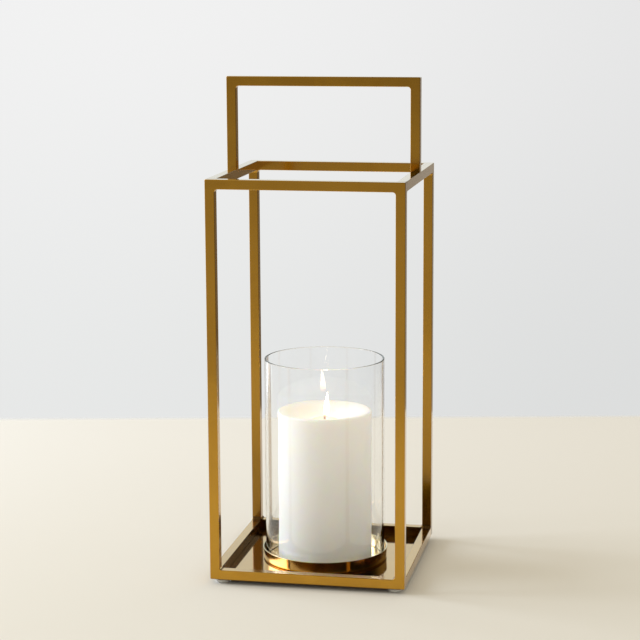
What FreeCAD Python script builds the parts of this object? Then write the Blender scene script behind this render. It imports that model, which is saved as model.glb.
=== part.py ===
import FreeCAD, Part
import os
import re
import Sketcher

# Hurricane candle lantern, in millimetres.
# Origin: on the standing surface under the middle of the base, +Z up, +X to the right, front at -Y.
# A box frame of slim square bar stands on a sheet base plate with four bumper feet.  A fixed bail
# handle stands on the side rails.  A shallow spun cup on the plate holds a loose glass chimney and
# a loose pillar candle.

SIZES = {
    "frame_width": "163",        # outside, left to right
    "frame_depth": "163",        # outside, front to back
    "frame_height": "333",       # bottom rail underside to top rail top
    "bar_size": "8",             # side of the square bar
    "edge_radius": "0.5",        # long edges of the bar
    "corner_radius": "1",        # outer corners of the welded hoops, and of the base plate
    "weld_radius": "2.5",        # concave weld in each inner corner
    "handle_rise": "78",         # top rail top to grip top
    "plate_thickness": "1.2",
    "foot_diameter": "12.6",
    "foot_height": "3",
    "foot_side": "0.8",          # straight side of a bumper, above its dome
    "foot_inset": "9",           # foot centre from the two outer edges
    "sheet": "0.9",              # cup wall and floor
    "cup_height": "10",
    "cup_flare": "0.5",          # how far the lip stands out past the foot of the wall
    "cup_bend": "0.8",           # inside bend between cup floor and wall
    "lip_radius": "0.25",        # broken edges of the cup lip
    "glass_clearance": "1.8",    # cup wall to glass, all round
    "glass_wall": "2",
    "glass_height": "173",
    "glass_lip": "0.8",          # fire-polished rim
    "chimney_gap": "8.8",        # glass to candle, all round
    "seat_clearance": "0.3",     # under the two loose pieces
    "candle_diameter": "80",
    "candle_height": "128",
    "candle_edge": "1.5",        # rounded foot of the candle
    "rim_width": "5",            # wax left standing round the melted dish
    "rim_outer_radius": "3.5",
    "rim_inner_radius": "6",
    "dish_depth": "8.5",
    "pool_diameter": "30",       # flat melt pool in the dish
    "pool_blend": "16",          # curve from the dish wall to the pool
    "wick_diameter": "2.4",
    "wick_exposed": "7",         # wick above the melt pool
    "wick_clearance": "0.05",
}

doc = FreeCAD.newDocument("hurricane_lantern")
sheet = doc.addObject("Spreadsheet::Sheet", "Sizes")
for row, (alias, text) in enumerate(SIZES.items(), start=1):
    sheet.set("A%d" % row, alias)
    sheet.set("B%d" % row, text)
    sheet.setAlias("B%d" % row, alias)
doc.recompute()

AXES = {
    "+X": FreeCAD.Vector(1, 0, 0),
    "-X": FreeCAD.Vector(-1, 0, 0),
    "+Y": FreeCAD.Vector(0, 1, 0),
    "+Z": FreeCAD.Vector(0, 0, 1),
    "-Z": FreeCAD.Vector(0, 0, -1),
}
TINY = 1e-6


def linked(formula):
    """Write a formula in sheet aliases as an expression that reads the sheet."""
    return re.sub(
        "[a-z_]+", lambda found: "Sizes." * (found[0] in SIZES) + found[0], formula)


def value(formula):
    """Number that a formula in sheet aliases gives now."""
    return float(sheet.evalExpression(linked(formula)))


def bind(thing, prop, formula):
    """Drive one property of a document object from the sheet."""
    thing.setExpression(prop, linked(formula))


def new_body(label, place=("0", "0", "0"), rotation=FreeCAD.Rotation()):
    """A body whose origin is driven to a place given as three formulas."""
    body = doc.addObject("PartDesign::Body", label)
    body.Label = label
    body.Placement = FreeCAD.Placement(FreeCAD.Vector(), rotation)
    for axis, formula in zip("xyz", place):
        if formula != "0":
            bind(body, "Placement.Base." + axis, formula)
    return body


def origin_plane(body, role):
    """One of the body's own origin planes."""
    return next(item for item in body.Origin.OriginFeatures if item.Role == role)


def place_point(sketch, index, end, corner, name):
    """Hold one sketch point at a corner given as two formulas."""
    for kind, formula, direction in zip(("DistanceX", "DistanceY"), corner, "xy"):
        if formula == "0":
            axis = -2 if direction == "x" else -1
            sketch.addConstraint(Sketcher.Constraint("PointOnObject", index, end, axis))
            continue
        made = sketch.addConstraint(
            Sketcher.Constraint(kind, -1, 1, index, end, value(formula)))
        sketch.renameConstraint(made, name + direction)
        bind(sketch, "Constraints." + name + direction, formula)


def draw_arc(sketch, first, last, bend, name):
    """Add the arc between two points; bend is (radius formula, centre formulas)."""
    radius, centre = bend
    middle = FreeCAD.Vector(value(centre[0]), value(centre[1]), 0)
    turn = (first - middle).cross(last - middle).z
    start, stop = (first, last) if turn > 0 else (last, first)
    spread = [FreeCAD.Vector(1, 0, 0).getAngle(point - middle) for point in (start, stop)]
    angles = [a if (p - middle).y >= 0 else -a for a, p in zip(spread, (start, stop))]
    circle = Part.Circle(middle, FreeCAD.Vector(0, 0, 1), value(radius))
    index = sketch.addGeometry(Part.ArcOfCircle(circle, angles[0], angles[1]))
    made = sketch.addConstraint(Sketcher.Constraint("Radius", index, value(radius)))
    sketch.renameConstraint(made, name + "r")
    bind(sketch, "Constraints." + name + "r", radius)
    return index, (1, 2) if turn > 0 else (2, 1)


def outline(body, role, corners, bends=None):
    """Closed sketch through corners; bends gives an arc for the side that starts at a corner."""
    bends = bends or {}
    sketch = body.newObject("Sketcher::SketchObject", body.Name + "_outline")
    sketch.AttachmentSupport = (origin_plane(body, role), [""])
    sketch.MapMode = "FlatFace"
    points = [FreeCAD.Vector(value(x), value(y), 0) for x, y in corners]
    sides = []
    for number, first in enumerate(points):
        last = points[(number + 1) % len(points)]
        if number in bends:
            sides.append(draw_arc(sketch, first, last, bends[number], "p%d" % number))
        else:
            sides.append((sketch.addGeometry(Part.LineSegment(first, last)), (1, 2)))
    for number, (index, ends) in enumerate(sides):
        after, after_ends = sides[(number + 1) % len(sides)]
        sketch.addConstraint(
            Sketcher.Constraint("Coincident", index, ends[1], after, after_ends[0]))
        place_point(sketch, index, ends[0], corners[number], "p%d" % number)
    return sketch


def pad(body, sketch, thickness):
    """Pad a sketch by a formula's length."""
    feature = body.newObject("PartDesign::Pad", body.Name + "_pad")
    feature.Profile = sketch
    bind(feature, "Length", thickness)
    return feature


def revolve(body, corners):
    """Turn a closed radius-height outline about the vertical axis."""
    sketch = outline(body, "XZ_Plane", corners)
    feature = body.newObject("PartDesign::Revolution", body.Name + "_turned")
    feature.Profile = sketch
    feature.ReferenceAxis = (sketch, ["V_Axis"])
    feature.Angle = 360
    return feature


def round_edges(body, base, chosen, radius, name):
    """Fillet the edges of the base feature that a test picks."""
    doc.recompute()
    edges = [
        "Edge%d" % number
        for number, edge in enumerate(base.Shape.Edges, start=1)
        if chosen(edge)
    ]
    if not edges:
        raise ValueError("no edge found for %s on %s" % (name, body.Label))
    fillet = body.newObject("PartDesign::Fillet", body.Name + "_" + name)
    fillet.Base = (base, edges)
    bind(fillet, "Radius", radius)
    return fillet


def ring_edge(radius, height):
    """Test for a circular edge about the vertical axis at a radius and height."""
    wanted_radius, wanted_height = value(radius), value(height)

    def chosen(edge):
        curve = edge.Curve
        return (
            isinstance(curve, Part.Circle)
            and abs(curve.Radius - wanted_radius) < TINY
            and abs(curve.Center.z - wanted_height) < TINY
        )

    return chosen


# ---------------------------------------------------------------- square bar frame

# A bar lies along its body's +X, with its outer side on Y = 0 and the window on its +Y side.
# A mitre end is cut at 45 degrees and carries its half of the outer corner round and of the
# inner weld.  A butt end is square and carries the whole weld.  A plain end is only square.
OUTER_HALF = "corner_radius * (1 - sqrt(0.5))"
WELD_HALF = "bar_size + weld_radius * (1 - sqrt(0.5))"


def bar_outline(body, length, near, far):
    """Side outline of a bar between its near end at X = 0 and its far end at X = length."""
    corners = []
    bends = {}

    def at(distance, end):
        return distance if end == "near" else "%s - (%s)" % (length, distance)

    def add_end(kind, end):
        """Corners of one end, listed from the outer side to the window side."""
        if kind == "mitre":
            rows = [
                (at("corner_radius", end), "0"),
                (at(OUTER_HALF, end), OUTER_HALF),
                (at(WELD_HALF, end), WELD_HALF),
                (at("bar_size + weld_radius", end), "bar_size"),
            ]
            arcs = {
                0: ("corner_radius", (at("corner_radius", end), "corner_radius")),
                2: ("weld_radius", (at("bar_size + weld_radius", end), "bar_size + weld_radius")),
            }
        elif kind == "butt":
            rows = [
                (at("0", end), "0"),
                (at("0", end), "bar_size + weld_radius"),
                (at("weld_radius", end), "bar_size"),
            ]
            arcs = {1: ("weld_radius", (at("weld_radius", end), "bar_size + weld_radius"))}
        else:
            rows = [(at("0", end), "0"), (at("0", end), "bar_size")]
            arcs = {}
        return rows, arcs

    far_rows, far_arcs = add_end(far, "far")
    near_rows, near_arcs = add_end(near, "near")
    corners.extend(far_rows)
    bends.update(far_arcs)
    corners.extend(reversed(near_rows))
    last = len(corners) - 1
    for number, arc in near_arcs.items():
        bends[last - number - 1] = arc
    return outline(body, "XY_Plane", corners, bends)


def bar_body(label, place, along, inward, length, near, far):
    """One bar of the frame, padded from its side outline with its long edges rounded."""
    side = AXES[along].cross(AXES[inward])
    rotation = FreeCAD.Rotation(AXES[along], AXES[inward], side, "XYZ")
    body = new_body(label, place, rotation)
    feature = pad(body, bar_outline(body, length, near, far), "bar_size")

    def long_edge(edge):
        ends = [vertex.Point for vertex in edge.Vertexes]
        return (
            isinstance(edge.Curve, Part.Line)
            and abs(ends[0].y - ends[1].y) < TINY
            and abs(ends[0].z - ends[1].z) < TINY
        )

    round_edges(body, feature, long_edge, "edge_radius", "long_edges")
    return body


LEFT = "0 - frame_width / 2"
RIGHT = "frame_width / 2"
LEFT_INSIDE = "bar_size - frame_width / 2"
RIGHT_INSIDE = "frame_width / 2 - bar_size"
FLOOR = "foot_height + plate_thickness"
TOP = FLOOR + " + frame_height"
BEHIND_FRONT_HOOP = "bar_size - frame_depth / 2"


def make_hoop(name, outer, inner):
    """Upright rectangle of four mitred bars between two depths, outer in front of inner."""
    height, width = "frame_height", "frame_width"
    ends = ("mitre", "mitre")
    return [
        bar_body(name + "_left_post", (LEFT, outer, FLOOR), "+Z", "+X", height, *ends),
        bar_body(name + "_right_post", (RIGHT, inner, FLOOR), "+Z", "-X", height, *ends),
        bar_body(name + "_bottom_rail", (LEFT, inner, FLOOR), "+X", "+Z", width, *ends),
        bar_body(name + "_top_rail", (LEFT, outer, TOP), "+X", "-Z", width, *ends),
    ]


def make_side_rails(name, low, high):
    """Bottom and top rail that join the two hoops on one side, from its lower X to its higher."""
    length = "frame_depth - 2 * bar_size"
    ends = ("butt", "butt")
    start = BEHIND_FRONT_HOOP
    return [
        bar_body(name + "_bottom_rail", (low, start, FLOOR), "+Y", "+Z", length, *ends),
        bar_body(name + "_top_rail", (high, start, TOP), "+Y", "-Z", length, *ends),
    ]


def make_handle():
    """Fixed bail: two legs on the middle of the side rails and the grip bar, mitred."""
    near_side, far_side = "0 - bar_size / 2", "bar_size / 2"
    grip_top = TOP + " + handle_rise"
    leg = "handle_rise"
    return [
        bar_body("handle_left_leg", (LEFT, near_side, TOP), "+Z", "+X", leg, "plain", "mitre"),
        bar_body("handle_right_leg", (RIGHT, far_side, TOP), "+Z", "-X", leg, "plain", "mitre"),
        bar_body("handle_grip_bar", (LEFT, near_side, grip_top), "+X", "-Z", "frame_width",
                 "mitre", "mitre"),
    ]


def make_base_plate():
    """Flat sheet under the bottom rails, flush with their outer sides."""
    body = new_body("base_plate", (LEFT, "0 - frame_depth / 2", "foot_height"))
    corners = [
        ("0", "0"),
        ("frame_width", "0"),
        ("frame_width", "frame_depth"),
        ("0", "frame_depth"),
    ]
    sheet_pad = pad(body, outline(body, "XY_Plane", corners), "plate_thickness")
    round_edges(
        body, sheet_pad, lambda edge: abs(edge.tangentAt(edge.FirstParameter).z) > 0.5,
        "corner_radius", "corners")
    return body


def make_foot(name, side, front):
    """Clear bumper with a flat top stuck to the plate and a domed lower edge."""
    place = (
        "%s * (frame_width / 2 - foot_inset)" % side,
        "%s * (frame_depth / 2 - foot_inset)" % front,
        "0",
    )
    body = new_body(name, place)
    radius = "foot_diameter / 2"
    corners = [("0", "0"), (radius, "0"), (radius, "foot_height"), ("0", "foot_height")]
    turned = revolve(body, corners)
    round_edges(body, turned, ring_edge(radius, "0"), "foot_height - foot_side", "dome")
    return body


# ---------------------------------------------------------------- cup, glass and candle

GLASS_INNER = "candle_diameter / 2 + chimney_gap"
GLASS_OUTER = GLASS_INNER + " + glass_wall"
CUP_INNER = GLASS_OUTER + " + glass_clearance"
CUP_OUTER = CUP_INNER + " + sheet"
CUP_FOOT_INNER = CUP_INNER + " - cup_flare"
CUP_FOOT_OUTER = CUP_OUTER + " - cup_flare"
SEAT = FLOOR + " + sheet + seat_clearance"


def make_cup():
    """Shallow dish spun from sheet: a small bend at its foot, a slightly flared wall, a broken lip."""
    body = new_body("candle_cup", ("0", "0", FLOOR))
    corners = [
        ("0", "0"),
        (CUP_FOOT_OUTER, "0"),
        (CUP_OUTER, "cup_height"),
        (CUP_INNER, "cup_height"),
        (CUP_FOOT_INNER, "sheet"),
        ("0", "sheet"),
    ]
    turned = revolve(body, corners)
    bend = round_edges(
        body, turned, ring_edge(CUP_FOOT_OUTER, "0"), "cup_bend + sheet", "outside_bend")
    inside = round_edges(
        body, bend, ring_edge(CUP_FOOT_INNER, "sheet"), "cup_bend", "inside_bend")
    rims = [ring_edge(radius, "cup_height") for radius in (CUP_OUTER, CUP_INNER)]
    round_edges(body, inside, lambda edge: any(test(edge) for test in rims), "lip_radius", "lip")
    return body


def make_glass():
    """Open-ended glass tube with fire-polished rims."""
    body = new_body("glass_chimney", ("0", "0", SEAT))
    corners = [
        (GLASS_INNER, "0"),
        (GLASS_OUTER, "0"),
        (GLASS_OUTER, "glass_height"),
        (GLASS_INNER, "glass_height"),
    ]
    turned = revolve(body, corners)
    rims = [
        ring_edge(radius, height)
        for radius in (GLASS_INNER, GLASS_OUTER)
        for height in ("0", "glass_height")
    ]
    round_edges(body, turned, lambda edge: any(test(edge) for test in rims), "glass_lip", "rims")
    return body


WICK_HOLE = "wick_diameter / 2 + wick_clearance"
POOL_LEVEL = "candle_height - dish_depth"


def make_candle():
    """Pillar of wax whose top has melted into a dish with a flat pool, bored for its wick."""
    body = new_body("pillar_candle", ("0", "0", SEAT))
    outer = "candle_diameter / 2"
    rim_inner = outer + " - rim_width"
    pool = "pool_diameter / 2"
    corners = [
        (WICK_HOLE, "0"),
        (outer, "0"),
        (outer, "candle_height"),
        (rim_inner, "candle_height"),
        (pool, POOL_LEVEL),
        (WICK_HOLE, POOL_LEVEL),
    ]
    shape = revolve(body, corners)
    rounds = [
        ("foot", outer, "0", "candle_edge"),
        ("rim_outer", outer, "candle_height", "rim_outer_radius"),
        ("rim_inner", rim_inner, "candle_height", "rim_inner_radius"),
        ("pool_edge", pool, POOL_LEVEL, "pool_blend"),
    ]
    for name, radius, height, size in rounds:
        shape = round_edges(body, shape, ring_edge(radius, height), size, name)
    return body


def make_wick():
    """Cotton wick that runs the height of the candle and stands out of the melt pool."""
    body = new_body("candle_wick", ("0", "0", SEAT))
    radius = "wick_diameter / 2"
    tip = POOL_LEVEL + " + wick_exposed"
    turned = revolve(body, [("0", "0"), (radius, "0"), (radius, tip), ("0", tip)])
    round_edges(body, turned, ring_edge(radius, tip), "wick_diameter / 4", "tip")
    return body


bodies = []
bodies += make_hoop("front", "0 - frame_depth / 2", BEHIND_FRONT_HOOP)
bodies += make_hoop("back", "frame_depth / 2 - bar_size", "frame_depth / 2")
bodies += make_side_rails("left", LEFT, LEFT_INSIDE)
bodies += make_side_rails("right", RIGHT_INSIDE, RIGHT)
bodies += make_handle()
bodies.append(make_base_plate())
for depth_name, depth_sign in (("front", "-1"), ("back", "1")):
    for side_name, side_sign in (("left", "-1"), ("right", "1")):
        bodies.append(make_foot("%s_%s_foot" % (depth_name, side_name), side_sign, depth_sign))
bodies += [make_cup(), make_glass(), make_candle(), make_wick()]

doc.recompute()

# ---------------------------------------------------------------- checks and export

for item in doc.Objects:
    if "Invalid" in item.State or "Error" in item.State:
        raise ValueError("%s did not build: %s" % (item.Label, item.State))

os.makedirs("parts", exist_ok=True)
for body in bodies:
    if body.Shape.isNull() or not body.Shape.isValid() or len(body.Shape.Solids) != 1:
        raise ValueError("%s is not one valid solid" % body.Label)
    body.Shape.exportStep("parts/%s.step" % body.Label)
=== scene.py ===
# %% [markdown]
# # Hurricane candle lantern
# The lantern is a box of slim square brass bar on a sheet base plate, with a fixed bail handle.  A
# shallow spun cup on the plate holds a loose glass chimney and a loose pillar candle.  The packed
# solids give every size and place, so this script only dresses them: the straight bars keep their own
# shape and get a finish, and the plate and the round pieces are made again as smooth surfaces.

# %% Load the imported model
import math

import bpy
import numpy as np
from mathutils import Matrix, Vector


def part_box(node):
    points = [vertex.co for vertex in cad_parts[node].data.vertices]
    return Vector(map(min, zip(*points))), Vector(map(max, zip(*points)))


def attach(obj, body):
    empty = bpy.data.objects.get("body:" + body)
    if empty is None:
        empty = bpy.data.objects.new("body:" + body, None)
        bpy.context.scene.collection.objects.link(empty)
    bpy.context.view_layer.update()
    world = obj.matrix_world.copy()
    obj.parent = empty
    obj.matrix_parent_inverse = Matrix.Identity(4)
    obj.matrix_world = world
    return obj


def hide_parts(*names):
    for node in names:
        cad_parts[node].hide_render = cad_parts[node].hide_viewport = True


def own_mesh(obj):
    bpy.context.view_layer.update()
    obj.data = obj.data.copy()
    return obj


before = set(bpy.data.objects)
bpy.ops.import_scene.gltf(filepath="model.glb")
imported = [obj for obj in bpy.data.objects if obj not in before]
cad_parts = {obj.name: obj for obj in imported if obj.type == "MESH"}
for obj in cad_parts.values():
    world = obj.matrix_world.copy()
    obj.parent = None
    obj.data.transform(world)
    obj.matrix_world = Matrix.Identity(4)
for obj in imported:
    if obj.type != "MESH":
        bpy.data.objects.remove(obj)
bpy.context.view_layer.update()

# %% [markdown]
# ## Camera
# A camera is a place, a lens and three turns: heading about the vertical, tilt up from straight down,
# and a roll about its own line of sight.  Multiplying the three turns in that order keeps each of them
# readable.  The long lens stands far back, which keeps the upright bars nearly parallel.

# %% Camera
CAMERA_PLACE = (0.3123, -1.5958, 0.5033)
HEADING, LOOK_DOWN, ROLL = 11.200, 10.197, -0.278

camera = bpy.data.objects.new("camera", bpy.data.cameras.new("camera"))
camera.data.lens, camera.data.sensor_width = 110.09, 36.0
turns = [(HEADING, "Z"), (90 - LOOK_DOWN, "X"), (ROLL, "Z")]
camera.matrix_world = Matrix.Translation(CAMERA_PLACE)
for degrees, axis in turns:
    camera.matrix_world = camera.matrix_world @ Matrix.Rotation(math.radians(degrees), 4, axis)
bpy.context.scene.collection.objects.link(camera)
bpy.context.scene.camera = camera
bpy.context.scene.view_settings.view_transform = "Standard"
print("camera at", CAMERA_PLACE)

# %% [markdown]
# ## Writing shader nodes
# A material is a small graph.  One helper adds a node and fills its inputs, either with a plain value
# or with the output of another node, so that each finish below reads as a list of its layers.

# %% Node helpers
def feed(tree, node, feeds):
    """Give inputs of a node a plain value each, or the output socket that drives them."""
    for socket, source in feeds.items():
        if isinstance(source, bpy.types.NodeSocket):
            tree.links.new(source, node.inputs[socket])
        else:
            node.inputs[socket].default_value = source


def put(tree, kind, feeds=None, **settings):
    """Add one node, with its settings and what feeds its inputs."""
    node = tree.nodes.new(kind)
    for name, setting in settings.items():
        setattr(node, name, setting)
    feed(tree, node, feeds or {})
    return node


def ramp(tree, driver, stops):
    """Colour ramp: each stop is a position from 0 to 1 and a colour."""
    node = put(tree, "ShaderNodeValToRGB", {"Fac": driver})
    while len(node.color_ramp.elements) < len(stops):
        node.color_ramp.elements.new(1.0)
    for element, (position, colour) in zip(node.color_ramp.elements, stops):
        element.position = position
        element.color = (*colour, 1.0)
    return node.outputs["Color"]


def between(tree, driver, low, high, to_low=0.0, to_high=1.0, kind="SMOOTHSTEP"):
    """Map a value that runs from low to high onto to_low to to_high, held at both ends."""
    feeds = {"Value": driver, "From Min": low, "From Max": high, "To Min": to_low, "To Max": to_high}
    return put(tree, "ShaderNodeMapRange", feeds, interpolation_type=kind).outputs["Result"]


def mix(tree, share, first, second, mode="MIX"):
    """Blend two colours; share 0 gives the first."""
    node = put(tree, "ShaderNodeMix", data_type="RGBA", blend_type=mode)
    for index, source in ((0, share), (6, first), (7, second)):
        if isinstance(source, bpy.types.NodeSocket):
            tree.links.new(source, node.inputs[index])
        else:
            node.inputs[index].default_value = source if index == 0 else (*source, 1.0)
    return node.outputs[2]


def maths(tree, operation, first, second=0.0):
    """One arithmetic step."""
    return put(tree, "ShaderNodeMath", {0: first, 1: second}, operation=operation).outputs[0]


# %% [markdown]
# ## Room
# Metal shows little of its own colour and mostly the room round it, so the room matters as much as the
# finish.  What shines in metal is painted by direction: a pale side behind and to the left, browner
# where it turns to the right, with two bright patches on the left, and a darker warm side in front and
# to the right, brighter towards the floor.  The camera, and rays that pass through glass, see only the
# plain pale wall.  Dull surfaces get an even light, which is darker low down in front.

# %% World
WALL_HIGH, WALL_LOW = (0.885, 0.885, 0.885), (0.80, 0.81, 0.805)
LIGHT_FROM_SIDES, LIGHT_FROM_ABOVE = (1.10, 1.10, 1.05), (0.73, 0.66, 0.49)

world = bpy.data.worlds.new("room")
world.use_nodes = True
bpy.context.scene.world = world
room = world.node_tree
room.nodes.clear()
direction = put(room, "ShaderNodeTexCoord").outputs["Generated"]
height = put(room, "ShaderNodeSeparateXYZ", {0: direction}).outputs["Z"]


def facing(towards, low, high, to_low=0.0, to_high=1.0):
    """How far a direction of the room turns towards a given one, from the cosine between them."""
    node = put(room, "ShaderNodeVectorMath", {0: direction, 1: towards}, operation="DOT_PRODUCT")
    return between(room, node.outputs["Value"], low, high, to_low, to_high)


def dimmed(share, colour):
    """A colour times a share of light."""
    return mix(room, share, (0, 0, 0), colour)


# %% [markdown]
# A height in the room picks a colour from a ramp, one for the bright side and one for the dark side.
# Which of the two is used follows from how far the direction turns to the back left.

# %% What metal mirrors
LEFT, BACK_LEFT, WINDOW = (-1.0, 0.0, 0.0), (-0.6, 0.8, 0.0), (-0.94, 0.0, 0.34)
BEHIND_WINDOW = (-0.81, 0.56, -0.16)
BROWN_SHARE, WINDOW_LIGHT, LIGHT_BEHIND_WINDOW = (0.20, 0.135, 0.05), (5.5,) * 3, (3.0,) * 3
rise = between(room, height, -0.5, 0.5, kind="LINEAR")
bright_side = ramp(room, rise, [
    (0.0, (0.70, 0.66, 0.58)), (0.34, (0.76, 0.76, 0.74)), (0.5, (0.82, 0.83, 0.82)),
    (0.7, (0.88, 0.98, 0.97))])
brown_side = mix(room, 1.0, bright_side, BROWN_SHARE, "MULTIPLY")
bright_side = mix(room, facing(LEFT, -0.28, 0.08), brown_side, bright_side)
dark_side = ramp(room, rise, [
    (0.0, (0.80, 0.74, 0.62)), (0.24, (0.56, 0.52, 0.44)), (0.36, (0.52, 0.48, 0.41)),
    (0.44, (0.34, 0.31, 0.26)), (0.52, (0.10, 0.08, 0.06)), (0.58, (0.02, 0.016, 0.012)),
    (0.90, (0.02, 0.016, 0.012)), (1.0, (0.20, 0.19, 0.18))])
front_left = ramp(room, rise, [
    (0.44, (0.34, 0.31, 0.26)), (0.56, (0.50, 0.46, 0.38)), (0.70, (0.72, 0.68, 0.58))])
low_share = between(room, rise, 0.44, 0.50, 1.0, 0.0)
left_share = facing(LEFT, 0.17, 0.215)
dark_side = mix(room, left_share, dark_side, mix(room, low_share, front_left, dark_side))
dark_side = dimmed(facing(LEFT, -0.8, -0.25, 0.2, 1.0), dark_side)
mirrored = mix(room, facing(BACK_LEFT, -0.35, 0.30), dark_side, bright_side)
window_share = maths(room, "MULTIPLY", facing(WINDOW, 0.84, 0.98), between(room, height, 0.05, 0.25))
mirrored = mix(room, window_share, mirrored, WINDOW_LIGHT)
mirrored = mix(room, facing(BEHIND_WINDOW, 0.955, 0.99), mirrored, LIGHT_BEHIND_WINDOW)
print("what metal mirrors:", len(room.nodes), "nodes so far")

# %% [markdown]
# The Light Path node tells what kind of ray has reached the room.  A shiny surface finds the painted
# room, the camera and rays through glass find the wall, and a dull surface finds the even light.

# %% What each kind of ray finds
FRONT, FRONT_LOW_LIGHT = (0.0, -1.0, 0.0), (0.30, 0.28, 0.24)
wall = ramp(room, between(room, height, -0.24, 0.0), [(0.0, WALL_LOW), (1.0, WALL_HIGH)])
wall = dimmed(facing(BACK_LEFT, 0.80, 0.95, 0.90, 1.0), wall)
dull_light = mix(room, between(room, height, 0.0, 0.8), LIGHT_FROM_SIDES, LIGHT_FROM_ABOVE)
front_low = maths(room, "MULTIPLY", facing(FRONT, 0.0, 0.5), between(room, height, 0.32, 0.14))
front_low = maths(room, "MULTIPLY", front_low, between(room, height, -0.08, 0.0))
dull_light = mix(room, front_low, dull_light, FRONT_LOW_LIGHT)
seen = put(room, "ShaderNodeLightPath")
light = mix(room, seen.outputs["Is Glossy Ray"], dull_light, mirrored)
plain_share = maths(
    room, "MAXIMUM", seen.outputs["Is Camera Ray"], seen.outputs["Is Transmission Ray"])
light = mix(room, plain_share, light, wall)
background = put(room, "ShaderNodeBackground", {"Color": light})
put(room, "ShaderNodeOutputWorld", {"Surface": background.outputs[0]})
print("room nodes:", len(room.nodes))

# %% [markdown]
# ## Table and window
# The lantern stands on a pale table top.  It is one flat face that turns see-through over a short way
# behind the lantern, and slowly towards its sides and its front.  The window is a large soft lamp on the
# left, which gives the candle its bright side and the table its soft shadow.

# %% Table top and window light
# The table is painted darker and warmer near the camera and paler away from it: painted shade near,
# painted light far.
TABLE_NEAR_SHADED, TABLE_FAR_LIT = (0.765, 0.735, 0.70), (0.795, 0.77, 0.755)
TABLE_BEHIND, TABLE_AROUND = 0.555, 1.3


def at_heading(along, across):
    """Points on the floor, by distance along the camera's heading and across it."""
    turn = math.radians(HEADING)
    ahead = np.array([-math.sin(turn), math.cos(turn)])
    right = np.array([math.cos(turn), math.sin(turn)])
    return np.outer(along, ahead) + np.outer(across, right)


table_mesh = bpy.data.meshes.new("table_top")
edges = at_heading([-TABLE_AROUND, -TABLE_AROUND, TABLE_BEHIND, TABLE_BEHIND],
                   [-TABLE_AROUND, TABLE_AROUND, TABLE_AROUND, -TABLE_AROUND])
table_mesh.from_pydata(np.column_stack([edges, np.zeros(4)]).tolist(), [], [[0, 1, 2, 3]])
table = bpy.data.objects.new("table_top", table_mesh)
bpy.context.scene.collection.objects.link(table)

wood = bpy.data.materials.new("table_finish")
wood.use_nodes = True
nodes = wood.node_tree
nodes.nodes.clear()
spot = put(nodes, "ShaderNodeMapping", {
    "Vector": put(nodes, "ShaderNodeTexCoord").outputs["Object"],
    "Rotation": (0.0, 0.0, -math.radians(HEADING))}).outputs[0]
across, along = put(nodes, "ShaderNodeSeparateXYZ", {0: spot}).outputs[:2]
distance = between(nodes, along, -0.2, 0.5)
# Painted shade near the camera, turning to painted light further back.
colour = ramp(nodes, distance, [(0.0, TABLE_NEAR_SHADED), (1.0, TABLE_FAR_LIT)])
fade_back = between(nodes, along, TABLE_BEHIND - 0.02, TABLE_BEHIND - 0.002, 1.0, 0.0)
fade_front = between(nodes, along, -1.0, -0.35)
fade_side = between(nodes, maths(nodes, "ABSOLUTE", across), 0.42, 0.85, 1.0, 0.0)
solid_share = maths(nodes, "MULTIPLY", fade_back, maths(nodes, "MULTIPLY", fade_front, fade_side))
top = put(nodes, "ShaderNodeBsdfDiffuse", {"Color": colour})
clear = put(nodes, "ShaderNodeBsdfTransparent")
blend = put(nodes, "ShaderNodeMixShader", {0: solid_share, 1: clear.outputs[0], 2: top.outputs[0]})
put(nodes, "ShaderNodeOutputMaterial", {"Surface": blend.outputs[0]})
table_mesh.materials.append(wood)


def soft_lamp(name, place, aim, size, watts, colour):
    """Square lamp of a given size, pointed from its place at a target."""
    light = bpy.data.lights.new(name, "AREA")
    light.size, light.energy, light.color = size, watts, colour
    lamp = bpy.data.objects.new(name, light)
    lamp.rotation_euler = (Vector(aim) - Vector(place)).to_track_quat("-Z", "Y").to_euler()
    lamp.location = place
    lamp.visible_glossy = False
    bpy.context.scene.collection.objects.link(lamp)


soft_lamp("window", (-2.4, 0.0, 1.05), (0.0, 0.0, 0.12), 1.6, 66.0, (0.80, 0.90, 1.0))
print("table reaches", TABLE_BEHIND, "m behind the lantern")

# %% [markdown]
# ## Turned surfaces
# The cup, glass, candle and feet are round about an upright axis.  A turned surface is a profile, a
# list of (radius, height) points, carried round a circle: point (u, v) is profile point v at angle u.
# Corners are first rounded with small arcs, because a real edge always catches a thin line of light.
# Each straight side gets a point close to both its ends, so that smooth shading stays flat between.

# %% Surface helpers
def surface(name, points, finish):
    """Object from a grid points[u, v]: each square of neighbours is a face.

    Grid points that fall on one place become one vertex, which closes seams and poles; a square that
    loses a corner this way becomes a triangle.
    """
    flat = np.round(points.reshape(-1, 3), 7) + 0.0
    places, index = np.unique(flat, axis=0, return_inverse=True)
    index = index.reshape(points.shape[:2])
    squares = np.stack([index[:-1, :-1], index[1:, :-1], index[1:, 1:], index[:-1, 1:]], axis=-1)
    squares = squares.reshape(-1, 4)
    differs = squares != np.roll(squares, -1, axis=1)
    whole, three = differs.all(axis=1), differs.sum(axis=1) == 3
    triangles = squares[three][differs[three]].reshape(-1, 3)
    mesh = bpy.data.meshes.new(name)
    mesh.from_pydata(places.tolist(), [], squares[whole].tolist() + triangles.tolist())
    mesh.shade_smooth()
    mesh.materials.append(finish)
    piece = bpy.data.objects.new(name, mesh)
    bpy.context.scene.collection.objects.link(piece)
    print(name, len(mesh.vertices), "vertices", len(mesh.polygons), "faces")
    return piece


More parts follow.
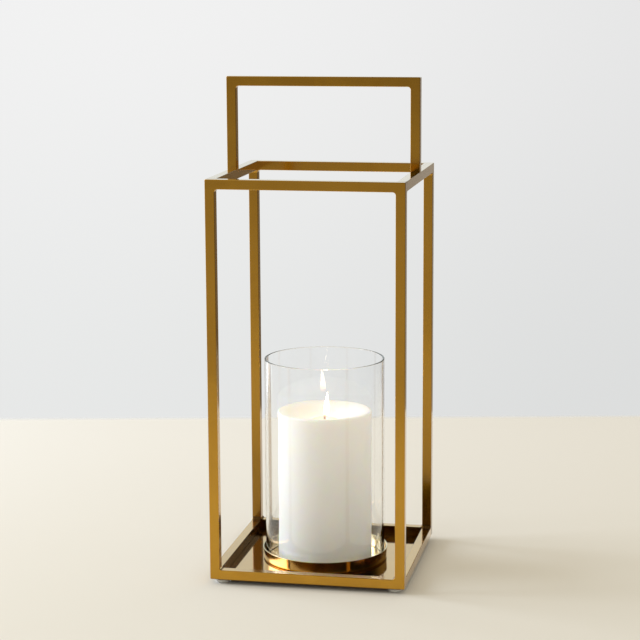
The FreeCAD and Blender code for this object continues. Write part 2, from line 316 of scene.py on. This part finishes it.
def rounded(corners, radii, closed=False, steps=8):
    """Profile through corner points with every corner rounded.

    An arc of radius r touches both sides of a corner at r * tan(turn / 2) from it; its points lie at
    centre + r * (cos, sin) of angles between the two touching points.
    """
    corners = np.asarray(corners, float)
    count = len(corners)
    rows = []
    for number in range(count):
        here, radius = corners[number], radii[number]
        if not closed and number in (0, count - 1):
            rows.append(here[None])
            continue
        into = here - corners[number - 1]
        out = corners[(number + 1) % count] - here
        into, out = into / np.linalg.norm(into), out / np.linalg.norm(out)
        turn = math.atan2(into[0] * out[1] - into[1] * out[0], into @ out)
        reach = radius * math.tan(abs(turn) / 2)
        side = math.copysign(1.0, turn)
        centre = here - into * reach + side * radius * np.array([-into[1], into[0]])
        start = math.atan2(*(here - into * reach - centre)[::-1])
        angles = start + turn * np.linspace(0, 1, steps + 1)
        arc = centre + radius * np.column_stack([np.cos(angles), np.sin(angles)])
        lead = 0.25 * radius
        rows.append(np.vstack([arc[0] - lead * into, arc, arc[-1] + lead * out]))
    profile = np.vstack(rows)
    return np.vstack([profile, profile[:1]]) if closed else profile


def turned(profile, centre=(0.0, 0.0), around=192):
    """Grid of a profile carried round: (x, y) = centre + radius * (cos, sin) of the angle."""
    angle = np.linspace(0, 2 * np.pi, around + 1)[:, None]
    radius, height = profile[None, :, 0], profile[None, :, 1]
    return np.stack([
        centre[0] + radius * np.cos(angle), centre[1] + radius * np.sin(angle),
        height + 0 * angle], axis=-1)


def stretch(profile, count):
    """Fill the long gaps of a profile with evenly spaced points, about count over its length."""
    gaps = np.linalg.norm(np.diff(profile, axis=0), axis=1)
    parts = np.maximum(1, np.round(gaps / (gaps.sum() / count)).astype(int))
    start = np.repeat(np.arange(len(gaps)), parts)
    share = (np.arange(parts.sum()) - np.repeat(np.cumsum(parts) - parts, parts)) / parts[start]
    filled = profile[start] + share[:, None] * (profile[start + 1] - profile[start])
    return np.vstack([filled, profile[-1:]])


# %% [markdown]
# ## Effects shared by several finishes
# Grain, handling marks, pits, worn edges with a painted highlight and the warm glow of a flame come back
# on more than one material.  Each is a node group, built once, with its own inputs.  A group puts out
# only masks from 0 to 1: the shader that uses them stays in the material.

# %% Group helper
def start_group(name, inputs, outputs):
    """Empty node group with named inputs (name, kind, start value) and named float outputs."""
    group = bpy.data.node_groups.new(name, "ShaderNodeTree")
    for label, kind, start in inputs:
        group.interface.new_socket(label, in_out="INPUT", socket_type=kind).default_value = start
    for label in outputs:
        group.interface.new_socket(label, in_out="OUTPUT", socket_type="NodeSocketFloat")
    return group, group.nodes.new("NodeGroupInput").outputs, group.nodes.new("NodeGroupOutput")


def noise(tree, place, scale, detail=4.0, rough=0.55, distortion=0.0):
    """Noise texture value at a place."""
    feeds = {"Vector": place, "Scale": scale, "Detail": detail, "Roughness": rough,
             "Distortion": distortion}
    return put(tree, "ShaderNodeTexNoise", feeds).outputs["Fac"]


VECTOR, NUMBER = "NodeSocketVector", "NodeSocketFloat"

# %% [markdown]
# Brushing leaves lines along one axis.  Noise squeezed along that axis stretches into such lines, and a
# coarser copy of it gives broader bands.

# %% Brushed grain
brushed_grain, given, answer = start_group(
    "brushed_grain",
    [("Place", VECTOR, (0, 0, 0)), ("Squeeze", VECTOR, (1, 1, 1)), ("Scale", NUMBER, 900.0)],
    ["Lines", "Bands"])
squeezed = put(
    brushed_grain, "ShaderNodeVectorMath", {0: given["Place"], 1: given["Squeeze"]},
    operation="MULTIPLY").outputs[0]
lines = noise(brushed_grain, squeezed, given["Scale"], 5.0, 0.7)
bands = noise(brushed_grain, squeezed, maths(brushed_grain, "MULTIPLY", given["Scale"], 0.12), 2.0)
brushed_grain.links.new(between(brushed_grain, lines, 0.3, 0.7), answer.inputs["Lines"])
brushed_grain.links.new(between(brushed_grain, bands, 0.35, 0.65), answer.inputs["Bands"])

# %% [markdown]
# Hands and cloths leave cloudy patches with smeared, broken edges: large soft noise says where a patch
# is, and finer bent noise breaks it up.

# %% Handling marks
handling_marks, given, answer = start_group(
    "handling_marks",
    [("Place", VECTOR, (0, 0, 0)), ("Scale", NUMBER, 60.0), ("Cover", NUMBER, 0.5)], ["Mask", "Clouds"])
clouds = noise(handling_marks, given["Place"], given["Scale"], 3.0, 0.6, 0.6)
smear_scale = maths(handling_marks, "MULTIPLY", given["Scale"], 4.3)
smears = noise(handling_marks, given["Place"], smear_scale, 5.0, 0.7, 1.2)
edge = maths(handling_marks, "SUBTRACT", 1.0, given["Cover"])
patch = between(handling_marks, clouds, edge, maths(handling_marks, "ADD", edge, 0.18))
broken = maths(handling_marks, "MULTIPLY", patch, between(handling_marks, smears, 0.3, 0.65))
handling_marks.links.new(broken, answer.inputs["Mask"])
handling_marks.links.new(between(handling_marks, clouds, 0.3, 0.7), answer.inputs["Clouds"])

# %% [markdown]
# A rounded edge faces between two axes, so there the largest part of its normal falls below 1.  That
# finds the edges of a straight bar without any measuring, and patchy noise varies how worn they are.
# The lighter brass put there is partly wear and partly a painted highlight along the edges.

# %% Worn edges with a painted highlight
worn_lit_edges, given, answer = start_group(
    "worn_lit_edges", [("Facing", VECTOR, (0, 0, 1)), ("Place", VECTOR, (0, 0, 0))], ["Mask"])
parts = put(worn_lit_edges, "ShaderNodeSeparateXYZ", {
    0: put(worn_lit_edges, "ShaderNodeVectorMath", {0: given["Facing"]}, operation="ABSOLUTE").outputs[0]})
largest = maths(
    worn_lit_edges, "MAXIMUM", parts.outputs[0],
    maths(worn_lit_edges, "MAXIMUM", parts.outputs[1], parts.outputs[2]))
turned_away = between(worn_lit_edges, largest, 0.99, 0.80)
patchy = between(worn_lit_edges, noise(worn_lit_edges, given["Place"], 140.0, 4.0), 0.35, 0.65, 0.35, 1.0)
worn_lit_edges.links.new(maths(worn_lit_edges, "MULTIPLY", turned_away, patchy), answer.inputs["Mask"])

# %% [markdown]
# A pit lies at the middle of each Voronoi cell, where the distance to the cell's point falls to 0, and
# slow noise leaves whole areas without any.

# %% Fine pits
fine_pits, given, answer = start_group(
    "fine_pits",
    [("Place", VECTOR, (0, 0, 0)), ("Scale", NUMBER, 700.0), ("Size", NUMBER, 0.25)], ["Mask"])
cells = put(fine_pits, "ShaderNodeTexVoronoi", {"Vector": given["Place"], "Scale": given["Scale"]})
pit = between(fine_pits, cells.outputs["Distance"], given["Size"], 0.0)
sparse = between(fine_pits, noise(fine_pits, given["Place"], 90.0, 2.0), 0.45, 0.62)
fine_pits.links.new(maths(fine_pits, "MULTIPLY", pit, sparse), answer.inputs["Mask"])

# %% [markdown]
# The glow falls off as e to the power of minus the distance from the flame over a given reach.

# %% Flame glow
flame_glow, given, answer = start_group(
    "flame_glow",
    [("Place", VECTOR, (0, 0, 0)), ("Flame", VECTOR, (0, 0, 0)), ("Reach", NUMBER, 0.03)], ["Mask"])
away = put(
    flame_glow, "ShaderNodeVectorMath", {0: given["Place"], 1: given["Flame"]}, operation="DISTANCE")
relative = maths(flame_glow, "DIVIDE", away.outputs["Value"], given["Reach"])
falling = maths(flame_glow, "POWER", math.e, maths(flame_glow, "MULTIPLY", relative, -1.0))
flame_glow.links.new(falling, answer.inputs["Mask"])
print("effects:", [group.name for group in bpy.data.node_groups])

# %% [markdown]
# ## Brass
# The bars are satin brass: brushed along their length, then lacquered, so they mirror the room softly.
# The plate is polished sheet, which mirrors sharply between faint smears.  One function makes both,
# because they are the same metal: only the grain's direction, the shine and the marks differ.

# %% Brass finishes
# The darkest brass below is painted shade, for faces inside the base frame, undersides and the low part
# of the back posts.
BRASS_PAINTED_SHADE = (0.07, 0.030, 0.007)
# The lighter brass for edges is partly wear, partly a painted highlight.
BRASS_DEEP, BRASS_LIGHT, BRASS_WORN_LIT = (0.48, 0.240, 0.008), (0.54, 0.278, 0.014), (0.60, 0.35, 0.07)
BRASS_COAT, PAINTED_SHADE_COAT, COAT_ROUGHNESS, GRAIN_HEIGHT = 0.75, 0.15, 0.08, 0.00002
SQUEEZE = {"X": (0.02, 1.0, 1.0), "Y": (1.0, 0.02, 1.0), "Z": (1.0, 1.0, 0.02)}


def start_material(name):
    """New material: its node tree, the object coordinates, its shader and its coordinates node."""
    material = bpy.data.materials.new(name)
    material.use_nodes = True
    tree = material.node_tree
    tree.nodes.clear()
    coordinates = put(tree, "ShaderNodeTexCoord")
    shader = put(tree, "ShaderNodeBsdfPrincipled")
    put(tree, "ShaderNodeOutputMaterial", {"Surface": shader.outputs[0]})
    return material, tree, coordinates, shader


def effect(tree, group, feeds):
    """Place a shared effect in a material."""
    return put(tree, "ShaderNodeGroup", feeds, node_tree=group).outputs


def raised(tree, shader, height, strength, distance):
    """Tilt a shader's normal by a height map; a height of 1 stands for the distance, in metres."""
    bump = put(
        tree, "ShaderNodeBump", {"Height": height, "Strength": strength, "Distance": distance})
    feed(tree, shader, {"Normal": bump.outputs[0]})


def brass(name, grain_axis, shine, marks, grain_depth, painted_shade=None):
    """Brass whose roughness runs from shine upwards where grain and marks dull it.

    painted_shade builds a mask of the places where shade is painted: there the brass turns darker,
    duller and less coated.
    """
    material, tree, coordinates, shader = start_material(name)
    place, facing = coordinates.outputs["Object"], coordinates.outputs["Normal"]
    grain = effect(tree, brushed_grain, {"Place": place, "Squeeze": SQUEEZE[grain_axis]})
    handled = effect(tree, handling_marks, {"Place": place, "Scale": 22.0, "Cover": 0.5})
    worn_and_lit = effect(tree, worn_lit_edges, {"Facing": facing, "Place": place})["Mask"]
    metal = mix(tree, handled["Clouds"], BRASS_DEEP, BRASS_LIGHT)
    metal = mix(tree, maths(tree, "MULTIPLY", grain["Bands"], 0.35), metal, BRASS_LIGHT)
    # Rounded edges get lighter brass: partly wear, partly a painted highlight.
    metal = mix(tree, maths(tree, "MULTIPLY", worn_and_lit, 0.3), metal, BRASS_WORN_LIT)
    dull = maths(tree, "MULTIPLY", grain["Lines"], grain_depth)
    dull = maths(tree, "ADD", dull, maths(tree, "MULTIPLY", handled["Mask"], marks))
    dull = maths(tree, "ADD", dull, shine)
    # Painted shade: where the mask says, the brass is darker, duller and less coated.
    if painted_shade:
        shade_share = maths(tree, "MULTIPLY", painted_shade(tree, place, facing), between(
            tree, handled["Clouds"], 0.0, 1.0, 0.8, 1.0))
        metal = mix(tree, shade_share, metal, BRASS_PAINTED_SHADE)
        dull = maths(tree, "ADD", dull, maths(tree, "MULTIPLY", shade_share, 0.12))
        coat = between(tree, shade_share, 0.0, 1.0, BRASS_COAT, PAINTED_SHADE_COAT)
        feed(tree, shader, {"Coat Weight": coat})
    feed(tree, shader, {
        "Base Color": metal, "Roughness": dull, "Metallic": 1.0, "Coat Roughness": COAT_ROUGHNESS})
    shader.inputs["Coat Weight"].default_value = BRASS_COAT
    raised(tree, shader, grain["Lines"], 2.0 * grain_depth, GRAIN_HEIGHT)
    return material


def low_at_back(tree, place, facing):
    """Mask of the lowest part of the back posts, where painted shade makes the brass darker and browner.
    """
    parts = put(tree, "ShaderNodeSeparateXYZ", {0: place}).outputs
    low = between(tree, parts["Z"], 0.20, 0.0, 0.0, 0.62)
    return maths(tree, "MULTIPLY", low, between(tree, parts["Y"], 0.0, 0.04))


SATIN = {"shine": 0.12, "marks": 0.04, "grain_depth": 0.05}
# Posts and legs get painted shade low on the back posts.
satin = {
    "X": brass("satin_brass_x", "X", **SATIN), "Y": brass("satin_brass_y", "Y", **SATIN),
    "Z": brass("satin_brass_z", "Z", **SATIN, painted_shade=low_at_back)}


def underside(tree, place, facing):
    """Mask of the faces that look down, where shade is painted."""
    return between(tree, put(tree, "ShaderNodeSeparateXYZ", {0: facing}).outputs["Z"], 0.0, -0.5)


def inside_and_under(tree, place, facing):
    """Mask of painted shade on faces that look into the frame, where the normal points against the
    place, or down.
    """
    flat = put(tree, "ShaderNodeVectorMath", {0: place, 1: (1.0, 1.0, 0.0)}, operation="MULTIPLY")
    inward = put(
        tree, "ShaderNodeVectorMath", {0: flat.outputs[0], 1: facing}, operation="DOT_PRODUCT")
    return maths(
        tree, "MAXIMUM", between(tree, inward.outputs["Value"], 0.0, -0.05),
        underside(tree, place, facing))


# The bars at the base get painted shade on the faces that look into the frame or down.
base_satin = {
    axis: brass("satin_brass_base_" + axis.lower(), axis, **SATIN, painted_shade=inside_and_under)
    for axis in "XY"}
print("brass finishes:", [material.name for material in bpy.data.materials if "brass" in material.name])

# %% [markdown]
# A bar is a straight solid already, so it keeps the shape that it came with.  What it needs is a finish
# whose grain runs along it, and the bars at the base get the one with painted shade inside and below.

# %% Dress the bars and the base plate
def grain_axis_of(node):
    """Posts and legs run up, side rails run back, and the rest run across."""
    if "post" in node or "leg" in node:
        return "Z"
    return "Y" if node.startswith(("left_", "right_")) else "X"


bars = [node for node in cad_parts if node.endswith(("_post", "_rail", "_leg", "_bar"))]
for node in bars:
    finish = (base_satin if "bottom" in node else satin)[grain_axis_of(node)]
    for place_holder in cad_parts[node].material_slots:
        place_holder.material = finish
print("dressed", len(bars), "bars")

# %% [markdown]
# ## Base plate
# The plate is polished sheet, fixed under the bars a little inside their outer faces, so that its cut
# edge stays in shadow.  Its faces are flat, and its underside is duller and darkened with painted shade.

# %% Base plate
PLATE_INSET, PLATE_CORNER, PLATE_EDGE = 0.0030, 0.0020, 0.0003


def sheet(low, high, inset, corner, edge, around=160):
    """Grid of a rounded rectangular sheet.

    An outline point is a corner's centre plus corner * (cos, sin) of angle u.  The edge is a quarter
    circle of radius edge above and below, and the flat faces shrink the outline to its middle.
    """
    half = np.array([(high.x - low.x) / 2 - inset - corner, (high.y - low.y) / 2 - inset - corner])
    turn = np.concatenate([np.linspace(k, k + 1, around // 4) for k in range(4)] + [[0]]) * np.pi / 2
    quarter = np.concatenate([np.full(around // 4, k) for k in range(4)] + [[0]])
    signs = np.array([(1, 1), (-1, 1), (-1, -1), (1, -1)])[quarter]
    bend = np.linspace(0, np.pi / 2, 7)
    rim = np.column_stack([edge * (1 - np.cos(bend)), edge * (1 - np.sin(bend))])
    steps = np.vstack([rim[::-1] * (1, -1) + (0, high.z), rim * (1, 1) + (0, low.z)])
    drawn_in, level = steps[:, 0], steps[:, 1]
    outline = signs[:, None] * half + (corner - drawn_in)[None, :, None] * np.stack(
        [np.cos(turn), np.sin(turn)], axis=-1)[:, None]
    heights = np.broadcast_to(level[None, :, None], outline.shape[:2] + (1,))
    walls = np.concatenate([outline, heights], -1)
    share = np.array([0.0, 0.5, 0.97])[None, :, None] * (1, 1, 0) + (0, 0, 1)
    above, below = walls[:, :1] * share, walls[:, -1:] * share[:, ::-1]
    return np.concatenate([above, walls, below], axis=1)[:, ::-1]


# The plate's underside gets painted shade.
plate_brass = brass(
    "polished_brass_plate", "X", shine=0.05, marks=0.06, grain_depth=0.02, painted_shade=underside)
plate_grid = sheet(*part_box("base_plate"), PLATE_INSET, PLATE_CORNER, PLATE_EDGE)
plate = surface("plate", plate_grid, plate_brass)
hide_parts("base_plate")
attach(plate, "frame")

# %% [markdown]
# ## Cup
# The cup is spun from thin sheet: flat floor, a small bend, a short upright wall and a broken lip.  Its
# lines are turning marks that run round it, so the grain would not follow a straight axis; a fine ring
# pattern in the distance from the axis does.

# %% Cup
cup_low, cup_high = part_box("candle_cup")
SHEET, CUP_BEND, LIP, FLARE = 0.0009, 0.0008, 0.00025, 0.0005
# The cup's brass is a paler copy of the plate's brass: painted light, so that its highlight comes out
# creamier.
CUP_DEEP, CUP_LIGHT, CUP_SHINE = (0.74, 0.58, 0.30), (0.80, 0.65, 0.36), 0.10
cup_radius = (cup_high.x - cup_low.x) / 2
cup_profile = rounded(
    [(0, cup_low.z), (cup_radius - FLARE, cup_low.z), (cup_radius, cup_high.z),
     (cup_radius - SHEET, cup_high.z), (cup_radius - SHEET - FLARE, cup_low.z + SHEET),
     (0, cup_low.z + SHEET)],
    [0, CUP_BEND + SHEET, LIP, LIP, CUP_BEND, 0], steps=6)

spun_brass, tree, coordinates, shader = start_material("polished_brass_cup")
place = coordinates.outputs["Object"]
split = put(tree, "ShaderNodeSeparateXYZ", {0: place})
from_axis = put(tree, "ShaderNodeVectorMath", {
    0: put(tree, "ShaderNodeCombineXYZ", {0: split.outputs[0], 1: split.outputs[1]}).outputs[0]},
    operation="LENGTH").outputs["Value"]
ring_place = put(tree, "ShaderNodeCombineXYZ", {0: from_axis, 2: split.outputs[2]}).outputs[0]
grain = effect(tree, brushed_grain, {"Place": ring_place, "Squeeze": (1, 1, 1), "Scale": 2600.0})
handled = effect(tree, handling_marks, {"Place": place, "Scale": 80.0, "Cover": 0.5})
metal = mix(tree, handled["Clouds"], CUP_DEEP, CUP_LIGHT)
dull = maths(tree, "ADD", maths(tree, "MULTIPLY", grain["Lines"], 0.06), CUP_SHINE)
dull = maths(tree, "ADD", dull, maths(tree, "MULTIPLY", handled["Mask"], 0.08))
feed(tree, shader, {
    "Base Color": metal, "Roughness": dull, "Metallic": 1.0, "Coat Weight": 1.0,
    "Coat Roughness": COAT_ROUGHNESS})
raised(tree, shader, grain["Lines"], 0.25, GRAIN_HEIGHT)

cup = surface("cup", turned(cup_profile, around=256), spun_brass)
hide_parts("candle_cup")
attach(cup, "frame")

# %% [markdown]
# ## Glass chimney
# The chimney is an open tube of drawn glass with fire-polished rims.  Drawn glass is never quite even:
# faint upright streaks bend the light a little.  Light that only passes through on its way from a lamp
# is let straight on, because tracing it through the curved wall would leave the candle dark and noisy.

# %% Glass
glass_low, glass_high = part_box("glass_chimney")
GLASS_WALL, GLASS_LIP = 0.0015, 0.0006
GLASS_DEEP, GLASS_CLEAR = (0.985, 0.99, 0.985), (1.0, 1.0, 1.0)
outer = (glass_high.x - glass_low.x) / 2
inner = outer - GLASS_WALL
glass_profile = rounded(
    [(outer, glass_low.z), (outer, glass_high.z), (inner, glass_high.z), (inner, glass_low.z)],
    [GLASS_LIP] * 4, closed=True, steps=8)

clear_glass, tree, coordinates, shader = start_material("clear_glass")
place = coordinates.outputs["Object"]
streaks = effect(tree, brushed_grain, {"Place": place, "Squeeze": (1, 1, 0.04), "Scale": 130.0})
raised(tree, shader, streaks["Bands"], 0.12, 0.0001)
handled = effect(tree, handling_marks, {"Place": place, "Scale": 45.0, "Cover": 0.42})
feed(tree, shader, {
    "Base Color": mix(tree, streaks["Lines"], GLASS_DEEP, GLASS_CLEAR),
    "Roughness": maths(tree, "MULTIPLY", handled["Mask"], 0.02),
    "Transmission Weight": 1.0, "IOR": 1.47})
passing = put(tree, "ShaderNodeLightPath")
straight = put(tree, "ShaderNodeBsdfTransparent", {"Color": (0.95, 0.95, 0.95, 1.0)})
lamp_rays = maths(tree, "MAXIMUM", passing.outputs["Is Shadow Ray"], passing.outputs["Is Diffuse Ray"])
choice = put(
    tree, "ShaderNodeMixShader", {0: lamp_rays, 1: shader.outputs[0], 2: straight.outputs[0]})
feed(tree, tree.nodes["Material Output"], {"Surface": choice.outputs[0]})

chimney = surface("chimney_glass", turned(glass_profile, around=256), clear_glass)
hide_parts("glass_chimney")
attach(chimney, "chimney")

# %% [markdown]
# ## Candle
# The candle is a cast pillar that has burned for a while: its top has melted to a dish with a soft
# rim and a shallow pool of liquid wax.  The dish falls from the crest of the rim to the pool as half a
# cosine wave.  The profile is turned like the others, then the rim is let down a little unevenly round
# the circle by a sum of sine waves, and the side is drawn in by another wave.

# %% Candle shape
wax_low, wax_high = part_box("pillar_candle")
candle_radius = (wax_high.x - wax_low.x) / 2
DISH_DEPTH, POOL_RADIUS, CREST_RADIUS, RIM_ROUND = 0.0085, 0.010, 0.0384, 0.0015
RIM_WAVES = [(2, 0.22, 0.6), (3, 0.16, 2.1), (5, 0.10, 0.0)]  # count round the rim, size, start
LET_DOWN, HOLLOW_DEPTH, HOLLOW_MIDDLE, HOLLOW_REACH = 0.0004, 0.00018, 0.07, 0.055
pool_level = wax_high.z - DISH_DEPTH
side_profile = rounded(
    [(0, wax_low.z), (candle_radius, wax_low.z), (candle_radius, wax_high.z),
     (CREST_RADIUS, wax_high.z)],
    [0, RIM_ROUND, RIM_ROUND, 0], steps=12)
out = np.linspace(CREST_RADIUS, POOL_RADIUS, 40)
rising = (1 - np.cos(np.pi * (out - POOL_RADIUS) / (CREST_RADIUS - POOL_RADIUS))) / 2
dish_profile = np.column_stack([out, pool_level + DISH_DEPTH * rising])
candle_profile = stretch(np.vstack([side_profile, dish_profile[1:], [(0, pool_level)]]), 150)
candle_grid = turned(candle_profile, around=192)
angle = np.arctan2(candle_grid[..., 1], candle_grid[..., 0])
near_top = np.clip((candle_grid[..., 2] - pool_level) / DISH_DEPTH, 0, 1) ** 2
let_down = 0.5 + sum(size * np.sin(count * angle + start) for count, size, start in RIM_WAVES)
candle_grid[..., 2] -= LET_DOWN * near_top * let_down
hollow = HOLLOW_DEPTH * (1 + np.sin(3 * angle + 90 * candle_grid[..., 2]))
in_reach = np.abs(candle_grid[..., 2] - HOLLOW_MIDDLE) < HOLLOW_REACH
shrink = 1 - hollow * in_reach / candle_radius
candle_grid = candle_grid * np.stack([shrink, shrink, np.ones_like(shrink)], -1)
print("candle radius", candle_radius, "pool at", pool_level)

# %% [markdown]
# Light goes into wax and comes out again close by, which is what the subsurface part of the shader is
# for.  The pool is liquid, so it is smoother and darker.  The glow of the flame in the wax is painted as
# light of its own, which falls off with the distance from the flame.

# %% Wax
WAX_SHADE, WAX_PALE, WAX_PIT = (0.92, 0.925, 0.925), (0.94, 0.945, 0.945), (0.78, 0.76, 0.70)
WAX_POOL, WAX_GLOW, POOL_ROUGHNESS = (0.88, 0.80, 0.66), (0.50, 0.42, 0.32), (0.06,) * 3
BLACK = (0, 0, 0)
FLAME_PLACE = (0.0015, 0.0, pool_level + 0.013)
wax, tree, coordinates, shader = start_material("wax")
place = coordinates.outputs["Object"]
handled = effect(tree, handling_marks, {"Place": place, "Scale": 32.0, "Cover": 0.55})
pits = effect(tree, fine_pits, {"Place": place, "Scale": 420.0, "Size": 0.28})["Mask"]
glow = effect(tree, flame_glow, {"Place": place, "Flame": FLAME_PLACE, "Reach": 0.028})["Mask"]
radius_out = put(tree, "ShaderNodeVectorMath", {0: place, 1: (0, 0, pool_level)}, operation="DISTANCE")
in_pool = between(tree, radius_out.outputs["Value"], POOL_RADIUS + 0.004, POOL_RADIUS - 0.002)
body_colour = mix(tree, handled["Clouds"], WAX_SHADE, WAX_PALE)
body_colour = mix(tree, maths(tree, "MULTIPLY", pits, 0.3), body_colour, WAX_PIT)
rough = maths(tree, "ADD", maths(tree, "MULTIPLY", handled["Clouds"], 0.12), 0.42)
feed(tree, shader, {
    "Base Color": mix(tree, in_pool, body_colour, WAX_POOL),
    "Roughness": mix(tree, in_pool, rough, POOL_ROUGHNESS),
    "Emission Color": mix(tree, glow, BLACK, WAX_GLOW), "Emission Strength": 1.0,
    "Subsurface Weight": 0.8, "Subsurface Radius": (1.0, 0.72, 0.42), "Subsurface Scale": 0.006,
    "IOR": 1.44})
lumps = noise(tree, place, 70.0, 3.0)
skin = maths(tree, "SUBTRACT", maths(tree, "MULTIPLY", lumps, 0.6), maths(tree, "MULTIPLY", pits, 0.5))
raised(tree, shader, skin, 0.3, 0.0004)

candle = surface("candle_wax", candle_grid, wax)
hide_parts("pillar_candle")
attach(candle, "candle")

# %% [markdown]
# ## Wick and flame
# The wick is a braid of three cotton strands, charred where it has burned, with a slight lean.  Its
# surface is a tube whose radius swells at each strand while the strands turn round its line.

# %% Wick
wick_low, wick_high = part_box("candle_wick")
wick_radius = (wick_high.x - wick_low.x) / 2
WICK_LEAN, WICK_BURIED = 0.0012, 0.003
STRAND_SWELL, STRAND_TWIST, TAPER_FROM = 0.14, 2200, 0.85
COTTON_PALE, COTTON_SHADE = (0.55, 0.47, 0.33), (0.36, 0.29, 0.18)
COTTON_BURNED, EMBER = (0.018, 0.014, 0.012), (1.0, 0.22, 0.03)


def along_wick(height):
    """Centre line: straight up to the pool, then leaning out with the square of the height."""
    above = np.clip(height - pool_level, 0, None) / (wick_high.z - pool_level)
    return np.stack([WICK_LEAN * above ** 2, 0 * above, height], axis=-1)


v = np.linspace(0, 1, 60)[None, :]
u = np.linspace(0, 2 * np.pi, 49)[:, None]
height = pool_level - WICK_BURIED + v * (wick_high.z - pool_level + WICK_BURIED)
strands = 1 - STRAND_SWELL + STRAND_SWELL * np.abs(np.cos(1.5 * (u - STRAND_TWIST * height)))
to_tip = np.clip((v - TAPER_FROM) / (1 - TAPER_FROM), 0, 1)
taper = np.sqrt(np.clip(1 - to_tip ** 2, 0, 1)) * (v > 0)
wick_span = wick_radius * strands * taper * (0.78 + 0.2 * (1 - v))
wick_grid = along_wick(height + 0 * u)
wick_grid[..., 0] += wick_span * np.cos(u)
wick_grid[..., 1] += wick_span * np.sin(u)

cotton, tree, coordinates, shader = start_material("wick_cotton")
place = coordinates.outputs["Object"]
up = put(tree, "ShaderNodeSeparateXYZ", {0: place}).outputs["Z"]
burned = between(tree, up, pool_level, pool_level + 0.0045)
fuzz = effect(tree, fine_pits, {"Place": place, "Scale": 3000.0, "Size": 0.5})["Mask"]
wick_tip = tuple(along_wick(wick_high.z))
glow = effect(tree, flame_glow, {"Place": place, "Flame": wick_tip, "Reach": 0.0012})
ember = effect(tree, handling_marks, {"Place": place, "Scale": 1400.0, "Cover": 0.6})["Mask"]
fibre = mix(tree, fuzz, COTTON_PALE, COTTON_SHADE)
hot = maths(tree, "MULTIPLY", glow["Mask"], ember)
feed(tree, shader, {
    "Base Color": mix(tree, burned, fibre, COTTON_BURNED), "Roughness": 0.9,
    "Emission Color": mix(tree, hot, BLACK, EMBER), "Emission Strength": 1.0})
raised(tree, shader, fuzz, 0.5, 0.0001)

wick = surface("wick", wick_grid, cotton)
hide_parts("candle_wick")
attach(wick, "candle")

# %% [markdown]
# The flame is light, not a piece of the lantern, so it has no solid.  It is a closed drop: the radius at
# a share v of its height is v to the power 0.4 times (1 - v) to the power 1.15, over the peak of that
# product.  It is faint and almost clear at its foot and bright above.

# %% Flame
FLAME_FOOT, FLAME_TIP, FLAME_RADIUS = pool_level + 0.0010, wax_high.z + 0.0158, 0.0023
FLAME_LEAN, FLAME_PEAK, FLAME_KEPT = 0.0024, 0.411, 0.33
v = np.linspace(0, 1, 72)[None, :]
u = np.linspace(0, 2 * np.pi, 65)[:, None]
height = FLAME_FOOT + v * (FLAME_TIP - FLAME_FOOT) + 0 * u
drop = FLAME_RADIUS * (v ** 0.4) * ((1 - v) ** 1.15) / FLAME_PEAK
flame_grid = np.stack([
    FLAME_LEAN * (0.4 + 0.6 * v) + drop * np.cos(u),
    drop * np.sin(u), height], axis=-1)

fire = bpy.data.materials.new("flame")
fire.use_nodes = True
tree = fire.node_tree
shader = tree.nodes["Principled BSDF"]
place = put(tree, "ShaderNodeTexCoord").outputs["Object"]
up = put(tree, "ShaderNodeSeparateXYZ", {0: place}).outputs["Z"]
burning = between(tree, up, FLAME_FOOT, FLAME_TIP, kind="LINEAR")
flicker = maths(tree, "SUBTRACT", noise(tree, place, 260.0, 2.0), 0.5)
burning = maths(tree, "ADD", burning, maths(tree, "MULTIPLY", flicker, 0.12))
fire_colour = ramp(tree, burning, [
    (0.0, (0.04, 0.05, 0.12)), (0.08, (0.16, 0.09, 0.05)), (0.30, (0.70, 0.48, 0.28)),
    (0.5, (1.0, 0.88, 0.70)), (1.0, (1.0, 0.80, 0.52))])
thick = ramp(tree, burning, [
    (position, (share,) * 3)
    for position, share in ((0.0, 0.10), (0.10, 0.6), (0.22, 0.98), (0.8, 1.0), (1.0, 0.5))])
feed(tree, shader, {
    "Base Color": (*BLACK, 1), "Roughness": 1.0, "Specular IOR Level": 0.0, "Alpha": thick,
    "Emission Color": fire_colour, "Emission Strength": 14.0})

flame = surface("candle_flame", flame_grid, fire)
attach(flame, "candle")
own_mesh(flame)
print("flame from", FLAME_FOOT, "to", FLAME_TIP)

# %% [markdown]
# ## Feet
# Four clear bumpers are stuck under the plate.  Each is a low dome with a flat foot and a short
# straight side, of soft clear rubber with a slight yellow tint.

# %% Feet
RUBBER_YELLOW, RUBBER_CLEAR = (0.90, 0.88, 0.80), (0.96, 0.95, 0.90)
FOOT_SIDE, FOOT_TOP_EDGE = 0.0008, 0.0001
rubber, tree, coordinates, shader = start_material("clear_rubber")
place = coordinates.outputs["Object"]
handled = effect(tree, handling_marks, {"Place": place, "Scale": 220.0, "Cover": 0.5})
feed(tree, shader, {
    "Base Color": mix(tree, handled["Clouds"], RUBBER_YELLOW, RUBBER_CLEAR),
    "Roughness": maths(tree, "ADD", maths(tree, "MULTIPLY", handled["Mask"], 0.12), 0.05),
    "Transmission Weight": 0.45, "IOR": 1.5})

for corner in ("front_left", "front_right", "back_left", "back_right"):
    low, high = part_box(corner + "_foot")
    centre, radius = (low + high) / 2, (high.x - low.x) / 2
    foot_profile = rounded(
        [(0, low.z), (radius, low.z), (radius, high.z), (0, high.z)],
        [0, high.z - low.z - FOOT_SIDE, FOOT_TOP_EDGE, 0], steps=10)
    foot = surface(corner + "_bumper", turned(foot_profile, centre[:2], around=72), rubber)
    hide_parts(corner + "_foot")
    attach(foot, "frame")
